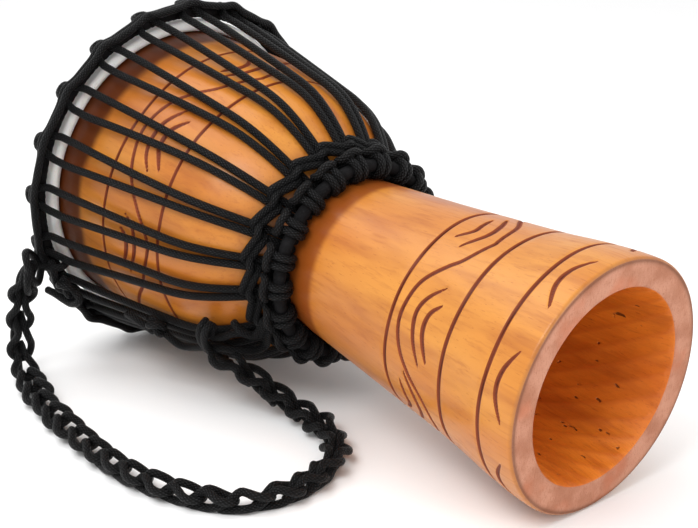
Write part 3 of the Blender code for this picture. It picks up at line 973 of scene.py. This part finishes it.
def finishing_rope(rope):
    """The lacing's end: a stopper knot with a melted stub, a loose run to the waist and two slack loops."""
    along = on_drum(0.3150, 0.1080, 122.5) - on_drum(0.2870, 0.1050, 128.0)
    knot = overhand(on_drum(0.2930, 0.1050, 124.5), on_drum(0.0, 1.0, 124.5), along, 0.0022)
    stub = route(((0.3170, 0.1085, 123.0), (0.3080, 0.1085, 123.0)))
    run = route((
        (0.2830, 0.1040, 131.5), (0.2740, 0.1015, 133.5), (0.2620, 0.0975, 132.0), (0.2500, 0.0925, 131.5),
        (0.2420, 0.0870, 135.0), (0.2345, 0.0805, 140.0), (0.2270, 0.0740, 138.0), (0.2200, 0.0700, 128.0),
        (0.2150, 0.0670, 122.0),
    ))
    slack = (
        ((0.2470, 0.0880, 119.0), (0.2500, 0.0905, 125.0), (0.2440, 0.0865, 126.0), (0.2370, 0.0810, 124.5),
         (0.2310, 0.0765, 127.5), (0.2250, 0.0725, 128.5), (0.2190, 0.0690, 121.0), (0.2150, 0.0650, 117.0)),
        ((0.2360, 0.0790, 118.5), (0.2330, 0.0790, 123.0), (0.2280, 0.0760, 127.5), (0.2230, 0.0715, 124.0),
         (0.2190, 0.0680, 118.0)),
    )
    tubes = [rope_along(stub + knot + run)] + [rope_along(route(each)) for each in slack]
    made = rope_object("finishing_rope_knotted", tubes, rope)
    place_piece(made, "drum", "black_rope", "finishing_rope")


def crown_tie_knot(rope):
    """The cradle rope's end at the crown: an overhand knot, an open bight and a short cut tail."""
    out = on_drum(0.12, 1.0, 117.5)
    along = on_drum(0.3800, 0.1220, 113.0) - on_drum(0.3560, 0.1190, 121.0)
    knot = overhand(on_drum(0.3660, 0.1195, 117.5), out, along, 0.0024)
    head = route(((0.3790, 0.1160, 111.0), (0.3745, 0.1190, 113.5)))
    bight = route((
        (0.3550, 0.1185, 120.0), (0.3575, 0.1215, 122.0), (0.3640, 0.1230, 123.2), (0.3720, 0.1235, 122.8),
        (0.3790, 0.1240, 121.8), (0.3850, 0.1250, 121.0),
    ))
    made = rope_object("crown_tie_rope_knotted", [rope_along(head + knot + bight)], rope)
    place_piece(made, "drum", "black_rope", "crown_tie_knot")


# ---------------------------------------------------------------- strap

# One stitch of the chain plait in millimetres: across, along and out of the strap's face
STITCH_POINTS = (
    (2.5, 1.0, -3.0), (2.55, 6.0, 0.9), (3.0, 10.6, 4.6), (5.0, 15.0, 3.8), (7.4, 19.5, 1.6),
    (7.0, 24.2, 0.2), (3.9, 27.6, -0.2), (0.0, 28.4, -0.3), (-3.9, 27.6, -0.2), (-7.0, 24.2, 0.2),
    (-7.4, 19.5, 1.6), (-5.0, 15.0, 3.8), (-3.0, 10.6, 4.6), (-2.55, 6.0, 0.9), (-2.4, 1.6, -2.9),
    (-1.8, -1.2, -5.0), (-0.3, 1.5, -5.4), (0.7, 8.0, -5.2), (1.7, 14.0, -5.0),
)


def plaited_strap(rope):
    """A chain plait of one 5 mm rope along the strap's route."""
    line = smooth_line([(x + FOOT_CENTRE.x, y, z + STRAP_LIFT) for x, y, z in STRAP_ROUTE], 0.0020)
    run = run_along(line)
    # the strap's face turns up in its middle, and keeps that turn towards both ends
    middle, up = len(line) // 2, (0.0, 0.0, 1.0)
    _, ahead, _ = frames(line[middle:], first=up)
    _, behind, _ = frames(line[middle::-1], first=up)
    normal = np.vstack([behind[::-1][:-1], ahead])
    tangent = unit(np.gradient(line, axis=0))

    def at(along):
        """The line's point, tangent, normal and side a length along it."""
        along = np.clip(along, 0, run[-1])
        tables = (line, tangent, normal)
        point, t, n = ([np.interp(along, run, table[:, i]) for i in range(3)] for table in tables)
        point, t, n = np.array(point), unit(np.array(t)), np.array(n)
        n = unit(n - t * (n @ t))
        return point, t, n, np.cross(t, n)

    stitches = int((run[-1] - STRAP_TAIL) / STITCH)
    pitch = (run[-1] - STRAP_TAIL) / stitches
    points = []
    for k in range(stitches):
        wide = min(rng.normal(1.02, 0.10), 1.18)
        roll = math.radians(rng.normal(0, 13.0))
        slip = rng.normal(0, 0.0006)
        for across, along, out in STITCH_POINTS:
            x, z = across * MM * wide, out * MM
            x, z = x * math.cos(roll) - z * math.sin(roll), x * math.sin(roll) + z * math.cos(roll)
            p, _, n, side = at(k * pitch + along * MM + slip)
            points.append(p + side * x + n * z)
    made = rope_object("strap_chain_plait", [rope_along(points)], rope, Matrix.Identity(4))
    place_piece(made, "strap", "strap_rope", "strap")


def from_foot(points):
    """Drum-space points of places that are given, like the strap's route, from below the foot's centre."""
    back = DRUM.inverted() @ Matrix.Translation((FOOT_CENTRE.x, 0.0, 0.0))
    return [np.array(back @ Vector(p)) for p in points]


def strap_upper_tie(rope):
    """Two loops that hold the strap's first stitch on the crown."""
    over_crown = route((
        (0.3728, 0.1086, 112.5), (0.3722, 0.1125, 112.5), (0.3745, 0.1165, 112.3), (0.3800, 0.1200, 112.0),
        (0.3860, 0.1222, 111.5),
    ))
    loop = from_foot((
        (-0.3880, -0.1170, 0.0800), (-0.3850, -0.1230, 0.0860), (-0.3790, -0.1290, 0.0880),
        (-0.3730, -0.1320, 0.0840), (-0.3710, -0.1310, 0.0760), (-0.3740, -0.1270, 0.0690),
        (-0.3800, -0.1200, 0.0660), (-0.3850, -0.1150, 0.0690), (-0.3880, -0.1120, 0.0740),
    ))
    hook = route(((0.3905, 0.1192, 110.5), (0.3955, 0.1150, 110.0), (0.3970, 0.1100, 110.0)))
    small = from_foot((
        (-0.3800, -0.1230, 0.0770), (-0.3750, -0.1300, 0.0800), (-0.3720, -0.1330, 0.0730),
        (-0.3760, -0.1310, 0.0640), (-0.3830, -0.1260, 0.0600), (-0.3880, -0.1230, 0.0650),
        (-0.3850, -0.1220, 0.0730),
    ))
    tubes = [rope_along(over_crown + loop + hook), rope_along(small, closed=True)]
    made = rope_object("strap_tie_crown", tubes, rope)
    place_piece(made, "drum", "strap_rope", "strap_upper_tie")


def strap_lower_tie(rope):
    """The strap's other end: a doubled loop over a lacing pair."""
    tubes = []
    for shift, fat in ((0.0, 0.0), (-0.0052, 0.0006)):
        over_lacing = [(s + shift, r + fat, a) for s, r, a in (
            (0.2525, 0.0880, 117.5), (0.2525, 0.0925, 118.0), (0.2545, 0.0955, 121.5),
            (0.2560, 0.0968, 125.5), (0.2570, 0.0970, 129.5), (0.2575, 0.0968, 133.5),
            (0.2580, 0.0965, 137.5), (0.2585, 0.0960, 141.0), (0.2590, 0.0950, 144.5),
        )]
        tubes.append(rope_along(route(over_lacing)))
    made = rope_object("strap_tie_lacing", tubes, rope)
    place_piece(made, "drum", "strap_rope", "strap_lower_tie")


def main():
    make_camera()
    rope = braided_rope()
    plaited_strap(rope)
    strap_upper_tie(rope)
    strap_lower_tie(rope)
    make_light()
    make_floor()
    shell()
    drumhead()
    wound_hoop("crown_ring_wound", CROWN_RING, "crown_ring", 150)
    wound_hoop("waist_ring_wound", WAIST_RING, "waist_ring", 90)
    steel_ring()
    lacing(rope)
    crown_cradle(rope)
    loop_chain(rope)
    waist_hitches(rope)
    finishing_rope(rope)
    crown_tie_knot(rope)


main()
